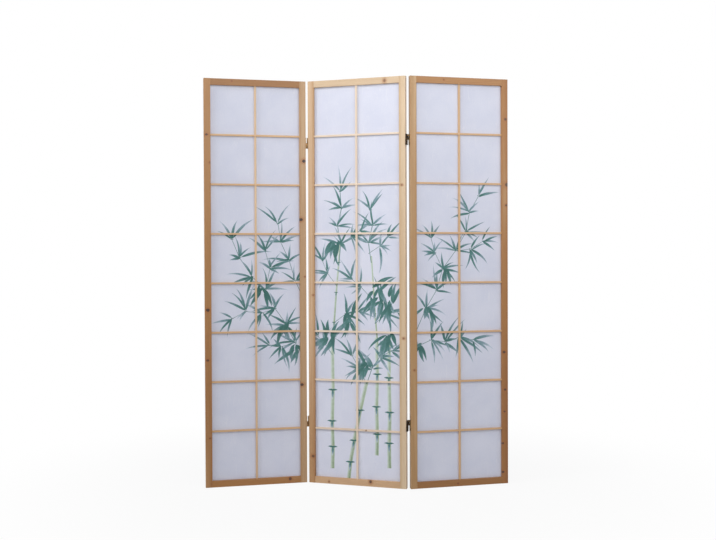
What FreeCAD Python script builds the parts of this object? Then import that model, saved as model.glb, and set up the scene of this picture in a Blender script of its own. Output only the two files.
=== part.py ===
"""A folding screen of three paper-backed lattice leaves on two-way hinges.

Every leaf is a pine frame (two stiles, two tenoned rails), a lattice of one upright
bar and seven cross bars let into the frame and halved over each other, a sheet of
paper glued behind the lattice, and four beads that hold the paper in its rebate.
Two hinges join each pair of leaves. A hinge has a plate on either leaf and a link
between them: the left plate turns on a pin at the front, the right plate on a pin
at the back, so the leaves fold both ways.

Row frame, in millimetres: X runs along the screen, the front faces -Y, Z is up, and
the origin is the middle of the footprint. A leaf is drawn in its own frame first,
with X across it from its left edge, Y from its front face backwards and Z from the
floor, and then stands in the zigzag that the fold angles give.
"""
import FreeCAD, Part
import os
import re

import Sketcher
from FreeCAD import Placement, Rotation, Vector

os.makedirs("parts", exist_ok=True)
doc = FreeCAD.newDocument("FoldingScreen")


# ---- driving dimensions -------------------------------------------------------------

SIZES = (
    ("leaf_width", "440", "one leaf, edge to edge"),
    ("leaf_height", "1750", "one leaf, floor to top"),
    ("leaf_thickness", "22", "stiles and rails, front to back"),
    ("stile_width", "28", "upright frame members"),
    ("rail_width", "28", "top and bottom frame members"),
    ("eased_edge", "1", "rounding of the frame's long edges"),
    ("bar_width", "8", "lattice bars, seen from the front"),
    ("bar_depth", "8", "lattice bars, front to back"),
    ("bar_setback", "3", "lattice behind the frame's front face"),
    ("bar_easing", "0.6", "rounding of the bars' front edges"),
    ("row_count", "8", "lattice openings, one above the other"),
    ("stub_length", "4", "bar ends let into the frame"),
    ("tenon_length", "18", "rail tenons let into the stiles"),
    ("tenon_thickness", "7", "rail tenons, front to back"),
    ("tenon_shoulder", "6", "rail wood above and below a tenon"),
    ("joint_slack", "0.1", "play of a tenon or stub in its socket"),
    ("paper_thickness", "0.4", "backing paper"),
    ("paper_margin", "1", "paper short of the rebate's wall"),
    ("rebate_width", "8", "rebate round the opening at the back"),
    ("bead_depth", "7", "retaining beads, front to back"),
    ("seam_gap", "8.5", "between two leaves laid flat"),
    ("hinge_height", "46", "one hinge"),
    ("hinge_distance", "268", "hinge centre from the leaf's end"),
    ("plate_thickness", "1.6", "hinge plate on a leaf"),
    ("link_thickness", "2", "link between the two plates"),
    ("plate_inset", "1", "plate edge inside the leaf's face"),
    ("plate_corner", "1.5", "rounding of a plate's free corners"),
    ("pin_setout", "1", "pin axis outside the leaf's face"),
    ("pin_radius", "1.6", "hinge pin"),
    ("pin_head", "0.8", "blunt pin end beyond its knuckles"),
    ("knuckle_radius", "3.4", "rolled knuckle, outside"),
    ("knuckle_gap", "0.4", "between two knuckles on a pin"),
    ("running_gap", "0.05", "plate knuckle round its pin"),
    ("fixed_gap", "0.02", "link knuckle round its pin"),
    ("swing_gap", "0.5", "plate or link clear of another's knuckle"),
    ("screw_length", "16", "hinge screw, over all"),
    ("screw_radius", "1.5", "hinge screw's shank"),
    ("screw_head_radius", "3", "countersunk head"),
    ("screw_head_depth", "1.5", "countersunk head"),
    ("screw_tip", "3", "pointed end of the shank"),
    ("screw_pitch", "15", "between two screws of a plate"),
    ("recess_width", "0.8", "cross recess in the head"),
    ("recess_length", "3.2", "cross recess in the head"),
    ("recess_depth", "1", "cross recess in the head"),
    ("left_yaw", "13.2", "degrees, left leaf against the row's X"),
    ("left_fold", "31.3", "degrees, front fold of the left seam"),
    ("right_fold", "32", "degrees, back fold of the right seam"),
)

sheet = doc.addObject("Spreadsheet::Sheet", "Sizes")
for row, (alias, value, note) in enumerate(SIZES, start=1):
    sheet.set(f"A{row}", note)
    sheet.set(f"B{row}", value)
    sheet.setAlias(f"B{row}", alias)
doc.recompute()

# Sizes that follow from the sheet, written as expressions of its cells.
PAPER_SEAT = "(bar_setback + bar_depth)"
ROW_PITCH = "((leaf_height - 2 * rail_width) / row_count)"
HALF_LAP = "(bar_setback + bar_depth / 2)"
PIN_SPAN = "(hinge_height / 2)"
KNUCKLE_PITCH = f"({PIN_SPAN} / 3)"
KNUCKLE_CLEAR = "(knuckle_radius + swing_gap - pin_setout)"

# How far a cutting block runs past the face that it cuts, and what counts as touching.
OVERCUT = "1"
TOUCH = 0.001
UPRIGHT = Vector(0, 0, 1)
ACROSS = Vector(1, 0, 0)
# The three screws of a plate, in steps of their pitch from its middle.
SCREW_STEPS = (-1, 0, 1)


def size(alias):
    """Read one driving dimension as a number."""
    return float(sheet.get(alias))


def bound(expression):
    """Name the sheet in front of every size in an expression."""
    return re.sub(r"[a-z]\w+", r"Sizes.\g<0>", expression)


# ---- drawing helpers ----------------------------------------------------------------

def new_body(label):
    """Start a body that will be one piece of the screen."""
    body = doc.addObject("PartDesign::Body", "Body")
    body.Label = label
    return body


def origin_feature(body, role):
    """Find one of a body's own planes or axes."""
    return next(item for item in body.Origin.OriginFeatures if item.Role == role)


def outline(body, role, points, offset="0"):
    """Draw a closed outline whose corners follow the sheet, on a plane of the body."""
    sketch = body.newObject("Sketcher::SketchObject", "Outline")
    sketch.AttachmentSupport = (origin_feature(body, role), [""])
    sketch.MapMode = "FlatFace"
    sketch.setExpression("AttachmentOffset.Base.z", bound(offset))
    count = len(points)
    # The first drawing is only a ring of corners: the constraints then place them.
    ring = [Rotation(UPRIGHT, 360 / count * i).multVec(ACROSS) for i in range(count)]
    for i in range(count):
        sketch.addGeometry(Part.LineSegment(ring[i], ring[(i + 1) % count]), False)
    for i in range(count):
        sketch.addConstraint(Sketcher.Constraint("Coincident", i, 2, (i + 1) % count, 1))
    for i, (across, up) in enumerate(points):
        for kind, place, start in (("DistanceX", across, ring[i].x), ("DistanceY", up, ring[i].y)):
            number = sketch.addConstraint(Sketcher.Constraint(kind, -1, 1, i, 1, start))
            sketch.setExpression(f"Constraints[{number}]", bound(place))
    return sketch


def rectangle(x_span, y_span):
    """List the corners of a rectangle from its two spans."""
    return [(x, y) for x, y in zip((x_span[0], x_span[1], x_span[1], x_span[0]),
                                   (y_span[0], y_span[0], y_span[1], y_span[1]))]


def pad(body, sketch, length):
    """Raise a sketch into a solid along its plane's normal."""
    feature = body.newObject("PartDesign::Pad", "Pad")
    feature.Profile = sketch
    feature.setExpression("Length", bound(length))
    return feature


def turned(body, sketch):
    """Turn a half outline about Z into a round solid."""
    feature = body.newObject("PartDesign::Revolution", "Turning")
    feature.Profile = sketch
    feature.ReferenceAxis = (origin_feature(body, "Z_Axis"), [""])
    feature.Angle = 360
    return feature


def block(body, kind, x_span, y_span, z_span):
    """Add (kind Additive) or cut (kind Subtractive) a box given by its three spans."""
    feature = body.newObject(f"PartDesign::{kind}Box", "Block")
    for name, axis, span in (("Length", "x", x_span), ("Width", "y", y_span), ("Height", "z", z_span)):
        feature.setExpression(name, bound(f"{span[1]} - ({span[0]})"))
        feature.setExpression(f"Placement.Base.{axis}", bound(span[0]))
    return feature


def drum(body, kind, radius, x, y, z_span):
    """Add or cut an upright cylinder."""
    feature = body.newObject(f"PartDesign::{kind}Cylinder", "Drum")
    feature.setExpression("Radius", bound(radius))
    feature.setExpression("Height", bound(f"{z_span[1]} - ({z_span[0]})"))
    for axis, place in (("x", x), ("y", y), ("z", z_span[0])):
        feature.setExpression(f"Placement.Base.{axis}", bound(place))
    return feature


def repeat(body, feature, axis_role, spacing, count):
    """Repeat a cut at equal steps along an axis of the body."""
    pattern = body.newObject("PartDesign::LinearPattern", "Row")
    pattern.Originals = [feature]
    pattern.Direction = (origin_feature(body, axis_role), [""])
    pattern.setExpression("Length", bound(f"{spacing} * ({count} - 1)"))
    pattern.setExpression("Occurrences", bound(count))
    body.Tip = pattern
    return pattern


def ease(body, base, radius, direction, depths):
    """Round the straight edges that run along a direction at the given depths."""
    doc.recompute()
    names = []
    for number, edge in enumerate(base.Shape.Edges, start=1):
        start, end = (vertex.Point for vertex in edge.Vertexes)
        along = (end - start).cross(direction).Length < TOUCH
        if along and any(abs(start.y - depth) < TOUCH for depth in depths):
            names.append(f"Edge{number}")
    fillet = body.newObject("PartDesign::Fillet", "EasedEdges")
    fillet.Base = (base, names)
    fillet.setExpression("Radius", bound(radius))
    return fillet


# ---- where the three leaves stand ---------------------------------------------------

half_gap = size("seam_gap") / 2
front_axis_y = -size("pin_setout")
back_axis_y = size("leaf_thickness") + size("pin_setout")
left_of_leaf = -half_gap
right_of_leaf = size("leaf_width") + half_gap


def leaf_at(yaw, local_point, row_point):
    """Stand a leaf at a yaw so that a point of its own meets a point of the row."""
    turn = Rotation(UPRIGHT, yaw)
    return Placement(row_point - turn.multVec(local_point), turn)


left_stand = leaf_at(size("left_yaw"), Vector(0, 0, 0), Vector(0, 0, 0))
left_axis = left_stand.multVec(Vector(right_of_leaf, front_axis_y, 0))
centre_yaw = size("left_yaw") - size("left_fold")
centre_stand = leaf_at(centre_yaw, Vector(left_of_leaf, front_axis_y, 0), left_axis)
right_axis = centre_stand.multVec(Vector(right_of_leaf, back_axis_y, 0))
right_stand = leaf_at(centre_yaw + size("right_fold"), Vector(left_of_leaf, back_axis_y, 0), right_axis)
LEAVES = {"left": left_stand, "centre": centre_stand, "right": right_stand}

# A leaf is the same turned upside down, so its right stile is its left one turned over.
TURNED_OVER = Placement(Vector(size("leaf_width"), 0, size("leaf_height")), Rotation(Vector(0, 1, 0), 180))
AS_DRAWN = Placement()

nodes = []


def keep(piece, stand):
    """Stand a finished piece in the row and list it for export."""
    piece.Placement = stand
    nodes.append(piece)


# ---- the wooden frame ---------------------------------------------------------------

def stile(label, with_hinges):
    """Draw a left stile: rebated at the back, mortised for the rails, socketed for the bars."""
    body = new_body(label)
    rebate_wall = "stile_width - rebate_width"
    section = outline(body, "XY_Plane", [
        ("0", "0"), ("stile_width", "0"), ("stile_width", PAPER_SEAT),
        (rebate_wall, PAPER_SEAT), (rebate_wall, "leaf_thickness"), ("0", "leaf_thickness")])
    stick = pad(body, section, "leaf_height")
    ease(body, stick, "eased_edge", UPRIGHT, (0, size("leaf_thickness")))
    mortise_x = ("stile_width - tenon_length - joint_slack", f"stile_width + {OVERCUT}")
    mortise_y = (f"{PAPER_SEAT} - tenon_thickness - joint_slack", f"{PAPER_SEAT} + joint_slack")
    low = "tenon_shoulder - joint_slack"
    high = "rail_width - tenon_shoulder + joint_slack"
    block(body, "Subtractive", mortise_x, mortise_y, (low, high))
    block(body, "Subtractive", mortise_x, mortise_y, (f"leaf_height - ({high})", f"leaf_height - ({low})"))
    middle = f"rail_width + {ROW_PITCH}"
    socket = block(
        body, "Subtractive",
        ("stile_width - stub_length - joint_slack", f"stile_width + {OVERCUT}"),
        ("bar_setback - joint_slack", f"{PAPER_SEAT} + {OVERCUT}"),
        (f"{middle} - bar_width / 2 - joint_slack", f"{middle} + bar_width / 2 + joint_slack"))
    repeat(body, socket, "Z_Axis", ROW_PITCH, "row_count - 1")
    if with_hinges:
        for centre in ("hinge_distance", "(leaf_height - hinge_distance)"):
            pilot_holes(body, centre)
    return body


def pilot_holes(body, centre):
    """Bore the three screw holes of one hinge plate into a stile's outer edge."""
    hole = body.newObject("PartDesign::SubtractiveCylinder", "PilotHole")
    hole.setExpression("Radius", bound("screw_radius + fixed_gap"))
    hole.setExpression("Height", bound("screw_length - plate_thickness"))
    hole.Placement = Placement(Vector(), Rotation(Vector(0, 1, 0), 90))
    hole.setExpression("Placement.Base.y", bound("leaf_thickness / 2"))
    hole.setExpression("Placement.Base.z", bound(f"{centre} - screw_pitch"))
    repeat(body, hole, "Z_Axis", "screw_pitch", str(len(SCREW_STEPS)))


def rail(label):
    """Draw a bottom rail: its back runs on into the stiles' rebates, its tenons into their mortises."""
    body = new_body(label)
    front = outline(body, "YZ_Plane", rectangle(("0", PAPER_SEAT), ("0", "rail_width")), "stile_width")
    pad(body, front, "leaf_width - 2 * stile_width")
    back = outline(
        body, "YZ_Plane",
        rectangle((PAPER_SEAT, "leaf_thickness"), ("0", "rail_width - rebate_width")),
        "stile_width - rebate_width")
    pad(body, back, "leaf_width - 2 * (stile_width - rebate_width)")
    tenon = outline(
        body, "YZ_Plane",
        rectangle((f"{PAPER_SEAT} - tenon_thickness", PAPER_SEAT),
                  ("tenon_shoulder", "rail_width - tenon_shoulder")),
        "stile_width - tenon_length")
    stick = pad(body, tenon, "leaf_width - 2 * (stile_width - tenon_length)")
    ease(body, stick, "eased_edge", ACROSS, (0, size("leaf_thickness")))
    block(
        body, "Subtractive",
        ("(leaf_width - bar_width) / 2 - joint_slack", "(leaf_width + bar_width) / 2 + joint_slack"),
        ("bar_setback - joint_slack", f"{PAPER_SEAT} + {OVERCUT}"),
        ("rail_width - stub_length - joint_slack", f"rail_width + {OVERCUT}"))
    return body


# ---- the lattice --------------------------------------------------------------------

def centre_bar(label):
    """Draw the upright bar, halved at the front where the cross bars pass over it."""
    body = new_body(label)
    stick = block(
        body, "Additive",
        ("(leaf_width - bar_width) / 2", "(leaf_width + bar_width) / 2"),
        ("bar_setback", PAPER_SEAT),
        ("rail_width - stub_length", "leaf_height - rail_width + stub_length"))
    ease(body, stick, "bar_easing", UPRIGHT, (size("bar_setback"),))
    crossing = f"rail_width + {ROW_PITCH}"
    notch = block(
        body, "Subtractive",
        (f"(leaf_width - bar_width) / 2 - {OVERCUT}", f"(leaf_width + bar_width) / 2 + {OVERCUT}"),
        (f"bar_setback - {OVERCUT}", HALF_LAP),
        (f"{crossing} - bar_width / 2 - joint_slack", f"{crossing} + bar_width / 2 + joint_slack"))
    repeat(body, notch, "Z_Axis", ROW_PITCH, "row_count - 1")
    return body


def cross_bar(label, number):
    """Draw one cross bar, halved at the back where it passes over the upright bar."""
    body = new_body(label)
    middle = f"rail_width + {ROW_PITCH} * {number}"
    stick = block(
        body, "Additive",
        ("stile_width - stub_length", "leaf_width - stile_width + stub_length"),
        ("bar_setback", PAPER_SEAT),
        (f"{middle} - bar_width / 2", f"{middle} + bar_width / 2"))
    ease(body, stick, "bar_easing", ACROSS, (size("bar_setback"),))
    block(
        body, "Subtractive",
        ("(leaf_width - bar_width) / 2 - joint_slack", "(leaf_width + bar_width) / 2 + joint_slack"),
        (HALF_LAP, f"{PAPER_SEAT} + {OVERCUT}"),
        (f"{middle} - bar_width", f"{middle} + bar_width"))
    return body


# ---- paper and beads ----------------------------------------------------------------

def paper(label):
    """Draw the sheet of paper that lies on the rebate's floor and the backs of the bars."""
    body = new_body(label)
    side = "stile_width - rebate_width + paper_margin"
    end = "rail_width - rebate_width + paper_margin"
    block(
        body, "Additive",
        (side, f"leaf_width - ({side})"),
        (PAPER_SEAT, f"{PAPER_SEAT} + paper_thickness"),
        (end, f"leaf_height - ({end})"))
    return body


def beads(label):
    """Draw the four strips that line the rebate behind the paper, the long pair outside."""
    side = "(stile_width - rebate_width)"
    end = "(rail_width - rebate_width)"
    upright = (end, f"leaf_height - {end}")
    between = ("stile_width", "leaf_width - stile_width")
    strips = []
    for x_span, z_span in (
            ((side, "stile_width"), upright),
            (("leaf_width - stile_width", f"leaf_width - {side}"), upright),
            (between, (end, "rail_width")),
            (between, ("leaf_height - rail_width", f"leaf_height - {end}"))):
        strip = doc.addObject("Part::Box", "Bead")
        y_span = (f"{PAPER_SEAT} + paper_thickness", f"{PAPER_SEAT} + paper_thickness + bead_depth")
        for name, axis, span in (("Length", "x", x_span), ("Width", "y", y_span), ("Height", "z", z_span)):
            strip.setExpression(name, bound(f"{span[1]} - ({span[0]})"))
            strip.setExpression(f"Placement.Base.{axis}", bound(span[0]))
        strips.append(strip)
    group = doc.addObject("Part::Compound", "Beads")
    group.Label = label
    group.Links = strips
    return group


# ---- the hinges ---------------------------------------------------------------------
# A hinge's own frame: X from the middle of the seam, Y from the leaves' front faces
# backwards, Z from the hinge's lower end. The front pin is in its lower half and the
# back pin in its upper half. Three knuckles share each pin, the middle one the link's.

def span_from(pin_side, total, low, high):
    """Measure a span from the pin's own face or end: the back pin counts from the far one."""
    if pin_side == "front":
        return (low, high)
    return (f"{total} - ({high})", f"{total} - ({low})")


def axis_y(pin_side):
    """Say how far back a pin's axis lies."""
    return "-pin_setout" if pin_side == "front" else "leaf_thickness + pin_setout"


def plate(label, pin_side):
    """Draw the plate that is screwed to a leaf's edge, with its two knuckles."""
    body = new_body(label)

    def deep(low, high):
        return span_from(pin_side, "leaf_thickness", low, high)

    def tall(low, high):
        return span_from(pin_side, "hinge_height", low, high)

    on_wood = "seam_gap / 2"
    in_seam = "(seam_gap / 2 - plate_thickness)"
    across = (f"-{on_wood}", f"-{in_seam}") if pin_side == "front" else (in_seam, on_wood)
    strip = block(body, "Additive", across, deep("plate_inset", f"leaf_thickness - {KNUCKLE_CLEAR}"),
                  tall("0", "hinge_height"))
    ease(body, strip, "plate_corner", ACROSS, (free_edge(pin_side),))
    block(body, "Additive", across, deep("-pin_setout", "leaf_thickness / 2"), tall("0", PIN_SPAN))
    outer_knuckle = tall("0", f"{KNUCKLE_PITCH} - knuckle_gap / 2")
    inner_knuckle = tall(f"2 * {KNUCKLE_PITCH} + knuckle_gap / 2", PIN_SPAN)
    for knuckle in (outer_knuckle, inner_knuckle):
        drum(body, "Additive", "knuckle_radius", "0", axis_y(pin_side), knuckle)
    block(
        body, "Subtractive", ("-seam_gap", "seam_gap"),
        deep("-pin_setout - 2 * knuckle_radius", KNUCKLE_CLEAR),
        tall(f"{KNUCKLE_PITCH} - knuckle_gap / 2", f"2 * {KNUCKLE_PITCH} + knuckle_gap / 2"))
    drum(body, "Subtractive", "pin_radius + running_gap", "0", axis_y(pin_side),
         tall(f"-{OVERCUT}", PIN_SPAN))
    for step in SCREW_STEPS:
        countersink(body, pin_side, in_seam, step)
    return body


def free_edge(pin_side):
    """Give the depth of a plate's free edge, away from its pin."""
    clear = size("knuckle_radius") + size("swing_gap") - size("pin_setout")
    return size("leaf_thickness") - clear if pin_side == "front" else clear


def countersink(body, pin_side, face, step):
    """Cut one screw's hole and its countersink into a plate, from its open face."""
    turn = Rotation(Vector(0, 1, 0), -90 if pin_side == "front" else 90)
    across = bound(f"-{face}" if pin_side == "front" else face)
    height = bound(f"hinge_height / 2 + {step} * screw_pitch")
    cone = body.newObject("PartDesign::SubtractiveCone", "Countersink")
    cone.setExpression("Radius1", bound("screw_head_radius + fixed_gap"))
    cone.setExpression("Radius2", bound("screw_radius + fixed_gap"))
    cone.setExpression("Height", bound("screw_head_depth"))
    hole = body.newObject("PartDesign::SubtractiveCylinder", "ScrewHole")
    hole.setExpression("Radius", bound("screw_radius + fixed_gap"))
    hole.setExpression("Height", bound(f"plate_thickness + {OVERCUT}"))
    for cut in (cone, hole):
        cut.Placement = Placement(Vector(), turn)
        cut.setExpression("Placement.Base.x", across)
        cut.setExpression("Placement.Base.y", bound("leaf_thickness / 2"))
        cut.setExpression("Placement.Base.z", height)


def link(label):
    """Draw the link between two plates: a flat strip with one knuckle on each pin."""
    body = new_body(label)
    across = ("-link_thickness / 2", "link_thickness / 2")
    block(body, "Additive", across, ("plate_inset", "leaf_thickness - plate_inset"), ("0", "hinge_height"))
    for pin_side in ("front", "back"):
        def deep(low, high):
            return span_from(pin_side, "leaf_thickness", low, high)

        def tall(low, high):
            return span_from(pin_side, "hinge_height", low, high)

        knuckle = tall(f"{KNUCKLE_PITCH} + knuckle_gap / 2", f"2 * {KNUCKLE_PITCH} - knuckle_gap / 2")
        block(body, "Subtractive", ("-link_thickness", "link_thickness"),
              deep("0", KNUCKLE_CLEAR), tall(f"-{OVERCUT}", PIN_SPAN))
        block(body, "Additive", across, deep("-pin_setout", "leaf_thickness / 2"), knuckle)
        drum(body, "Additive", "knuckle_radius", "0", axis_y(pin_side), knuckle)
        drum(body, "Subtractive", "pin_radius + fixed_gap", "0", axis_y(pin_side), knuckle)
    return body


def pin():
    """Turn the hinge pin: a rod with a blunt point beyond its knuckles at either end."""
    body = new_body("hinge_pin_pattern")
    half_section = outline(body, "XZ_Plane", [
        ("0", "-pin_head"), ("pin_radius / 2", "-pin_head"), ("pin_radius", "-pin_head / 2"),
        ("pin_radius", f"{PIN_SPAN} + pin_head / 2"), ("pin_radius / 2", f"{PIN_SPAN} + pin_head"),
        ("0", f"{PIN_SPAN} + pin_head")])
    turned(body, half_section)
    return body


def screw():
    """Turn a countersunk wood screw along Z, its head's face at the origin and its tip below."""
    body = new_body("hinge_screw_pattern")
    half_section = outline(body, "XZ_Plane", [
        ("0", "0"), ("screw_head_radius", "0"), ("screw_radius", "-screw_head_depth"),
        ("screw_radius", "screw_tip - screw_length"), ("0", "-screw_length")])
    turned(body, half_section)
    long_way = ("-recess_length / 2", "recess_length / 2")
    short_way = ("-recess_width / 2", "recess_width / 2")
    for x_span, y_span in ((long_way, short_way), (short_way, long_way)):
        block(body, "Subtractive", x_span, y_span, ("-recess_depth", OVERCUT))
    return body


def copies(label, pattern, places):
    """Gather copies of one small piece in a single node."""
    links = []
    for place in places:
        copy = doc.addObject("App::Link", "Copy")
        copy.LinkedObject = pattern
        copy.Placement = place
        links.append(copy)
    group = doc.addObject("Part::Compound", "Group")
    group.Label = label
    group.Links = links
    return group


def moved(x, y, z):
    """Shift without turning."""
    return Placement(Vector(x, y, z), Rotation())


# ---- build every leaf ---------------------------------------------------------------

for name, stand in LEAVES.items():
    hinged_left = name != "left"
    hinged_right = name != "right"
    keep(stile(f"{name}_panel_left_stile", hinged_left), stand)
    keep(stile(f"{name}_panel_right_stile", hinged_right), stand * TURNED_OVER)
    keep(rail(f"{name}_panel_bottom_rail"), stand)
    keep(rail(f"{name}_panel_top_rail"), stand * TURNED_OVER)
    keep(centre_bar(f"{name}_panel_centre_bar"), stand)
    for number in range(1, int(size("row_count"))):
        keep(cross_bar(f"{name}_panel_cross_bar_{number}", number), stand)
    keep(paper(f"{name}_panel_paper"), stand)
    keep(beads(f"{name}_panel_beads"), stand)


# ---- build and hang the hinges ------------------------------------------------------

hinge_foot = {
    "lower": size("hinge_distance") - size("hinge_height") / 2,
    "upper": size("leaf_height") - size("hinge_distance") - size("hinge_height") / 2,
}
SEAMS = {"left": ("left", "centre"), "right": ("centre", "right")}

pin_pattern = pin()
screw_pattern = screw()
screw_places = {name: [] for name in LEAVES}
half_height = size("hinge_height") / 2
screw_y = size("leaf_thickness") / 2
plate_face = half_gap - size("plate_thickness")


def seam_side(leaf, on_right_edge):
    """Give a seam's middle in the row from one of its leaves."""
    return LEAVES[leaf] * moved(right_of_leaf if on_right_edge else left_of_leaf, 0, 0)


for seam, (left_leaf, right_leaf) in SEAMS.items():
    left_side = seam_side(left_leaf, True)
    right_side = seam_side(right_leaf, False)
    # In the photographed fold both seams' links lie along the centre leaf.
    link_side = left_side if left_leaf == "centre" else right_side
    pin_places = []
    for level, foot in hinge_foot.items():
        lift = moved(0, 0, foot)
        keep(plate(f"{seam}_seam_{level}_hinge_left_plate", "front"), left_side * lift)
        keep(plate(f"{seam}_seam_{level}_hinge_right_plate", "back"), right_side * lift)
        keep(link(f"{seam}_seam_{level}_hinge_link"), link_side * lift)
        pin_places.append(link_side * moved(0, front_axis_y, foot))
        pin_places.append(link_side * moved(0, back_axis_y, foot + half_height))
        for step in SCREW_STEPS:
            height = foot + half_height + step * size("screw_pitch")
            # A screw's head looks out of the seam's side of its plate.
            screw_places[left_leaf].append(
                left_side * moved(-plate_face, screw_y, height)
                * Placement(Vector(), Rotation(Vector(0, 1, 0), 90)))
            screw_places[right_leaf].append(
                right_side * moved(plate_face, screw_y, height)
                * Placement(Vector(), Rotation(Vector(0, 1, 0), -90)))
    keep(copies(f"{seam}_seam_hinge_pins", pin_pattern, pin_places), AS_DRAWN)
for name, places in screw_places.items():
    keep(copies(f"{name}_panel_hinge_screws", screw_pattern, places), AS_DRAWN)

doc.recompute()


# ---- centre the footprint on the row's origin ---------------------------------------

whole = FreeCAD.BoundBox()
for piece in nodes:
    whole.add(piece.Shape.optimalBoundingBox(False, False))
to_origin = moved(-whole.Center.x, -whole.Center.y, -whole.ZMin)
for piece in nodes:
    piece.Placement = to_origin * piece.Placement
doc.recompute()


# ---- check and write ----------------------------------------------------------------

for item in doc.Objects:
    if "Invalid" in item.State or "Error" in item.State:
        raise RuntimeError(f"{item.Label} did not build: {item.State}")
for piece in nodes:
    if piece.Shape.isNull() or not piece.Shape.isValid() or not piece.Shape.Solids:
        raise RuntimeError(f"{piece.Label} has no sound solid")
for piece in nodes:
    piece.Shape.exportStep(f"parts/{piece.Label}.step")

link_stand = to_origin * centre_stand
for text, point in (
        ("left seam, front pin", Vector(left_of_leaf, front_axis_y, 0)),
        ("left seam, back pin", Vector(left_of_leaf, back_axis_y, 0)),
        ("right seam, front pin", Vector(right_of_leaf, front_axis_y, 0)),
        ("right seam, back pin", Vector(right_of_leaf, back_axis_y, 0))):
    place = link_stand.multVec(point)
    print(f"{text}: x {place.x:.4f} y {place.y:.4f}")
for name, stand in LEAVES.items():
    corner = (to_origin * stand).Base
    yaw = stand.Rotation.getYawPitchRoll()[0]
    print(f"{name} leaf: corner x {corner.x:.4f} y {corner.y:.4f} yaw {yaw:.3f}")
print(f"{len(nodes)} nodes, {sum(len(piece.Shape.Solids) for piece in nodes)} solids,",
      f"box {whole.XLength:.1f} x {whole.YLength:.1f} x {whole.ZLength:.1f} mm")
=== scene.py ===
# %% [markdown]
# # A folding screen of three paper-backed lattice leaves
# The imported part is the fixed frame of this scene: three pine leaves that stand in a
# shallow zigzag, and the hinges between them. Every dimension comes from that part.
# What is added here is what a solid can't show: pine with its grain and knots, paper
# with its fibres, aged brass, the ink of the printed bamboo, and the studio.

# %% Load the frame
import math
import random

import bmesh
import bpy
from mathutils import Euler, Matrix, Vector


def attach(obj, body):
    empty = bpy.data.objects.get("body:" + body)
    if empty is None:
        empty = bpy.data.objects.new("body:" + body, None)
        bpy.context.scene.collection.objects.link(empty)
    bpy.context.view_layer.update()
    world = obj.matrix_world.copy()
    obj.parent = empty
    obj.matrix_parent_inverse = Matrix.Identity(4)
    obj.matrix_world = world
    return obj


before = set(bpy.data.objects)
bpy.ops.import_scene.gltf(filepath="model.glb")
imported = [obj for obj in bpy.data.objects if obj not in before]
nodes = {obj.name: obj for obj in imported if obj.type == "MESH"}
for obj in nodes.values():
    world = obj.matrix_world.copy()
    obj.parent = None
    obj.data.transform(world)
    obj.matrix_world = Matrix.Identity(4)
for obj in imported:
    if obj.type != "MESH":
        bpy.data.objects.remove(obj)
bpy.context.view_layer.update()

# %% [markdown]
# ## Where the leaves stand
# A leaf is easiest to think of flat: X from its left edge, Y from its front face
# backwards, Z from the floor. Two numbers put that flat leaf into the zigzag, the place
# of its front left foot and its yaw. Everything drawn on a leaf, in mesh or in a
# material, goes through the same placement, so that ink and grain sit on the wood.

# %% Leaf placements
LEAF_WIDTH, LEAF_HEIGHT = 0.440, 1.750
STILE, RAIL = 0.028, 0.028
PAPER_FRONT, PAPER_BACK = 0.0110, 0.0114
LEAVES = {
    "left": ((-0.6491183, -0.0422083), 13.2),
    "centre": ((-0.2120272, 0.0578931), -18.1),
    "right": ((0.2270358, -0.0795685), 13.9),
}


def stand(leaf):
    """Give the matrix that moves a flat leaf to its place in the zigzag."""
    (x, y), yaw = LEAVES[leaf]
    return Matrix.Translation((x, y, 0)) @ Matrix.Rotation(math.radians(yaw), 4, "Z")


for leaf in LEAVES:
    back = stand(leaf).inverted()
    flat = [back @ v.co for v in nodes[f"{leaf}_panel_paper"].data.vertices]
    print(leaf, "paper from", [round(min(p[i] for p in flat), 4) for i in range(3)],
          "to", [round(max(p[i] for p in flat), 4) for i in range(3)])

# %% [markdown]
# ## The camera
# A product picture of a tall flat object is taken from far enough away that its upright
# lines stay upright: here from 4.3 m, a little above half height, and almost level. The
# numbers were worked out from the screen's own corners, which is surer than dragging
# the camera about until the picture looks right.

# %% Camera
IMAGE_WIDTH, FOCAL_PIXELS = 716, 989.4
SENSOR_MM = 36.0
CAMERA_PLACE = (-0.0005, -4.2608, 0.9916)
LOOKS_DOWN, TURNS, ROLLS = 0.834, -0.07, -0.216

lens = bpy.data.cameras.new("studio_camera")
lens.sensor_width = SENSOR_MM
lens.lens = FOCAL_PIXELS / IMAGE_WIDTH * SENSOR_MM
camera = bpy.data.objects.new("studio_camera", lens)
bpy.context.scene.collection.objects.link(camera)
bpy.context.scene.camera = camera
camera.location = CAMERA_PLACE
level = Euler((math.radians(90 - LOOKS_DOWN), 0, math.radians(TURNS))).to_matrix()
camera.rotation_euler = (level @ Matrix.Rotation(math.radians(ROLLS), 3, "Z")).to_euler()
print("lens mm:", round(lens.lens, 2))

# %% [markdown]
# ## Light
# The picture's light is broad and soft. The middle leaf, which turns to the left, is the
# brightest, and every leaf darkens towards the floor. So the key lamp stands far to the
# left and high, and all three front lamps aim at the top of the screen. The brow lamp
# lifts the tops of the leaves, the fill lamp opens what the key lamp leaves dark, and a
# lamp at the back lights the side that the picture doesn't show. Camera rays see a white
# world, so the background is clean without any more light on the wood.

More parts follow.
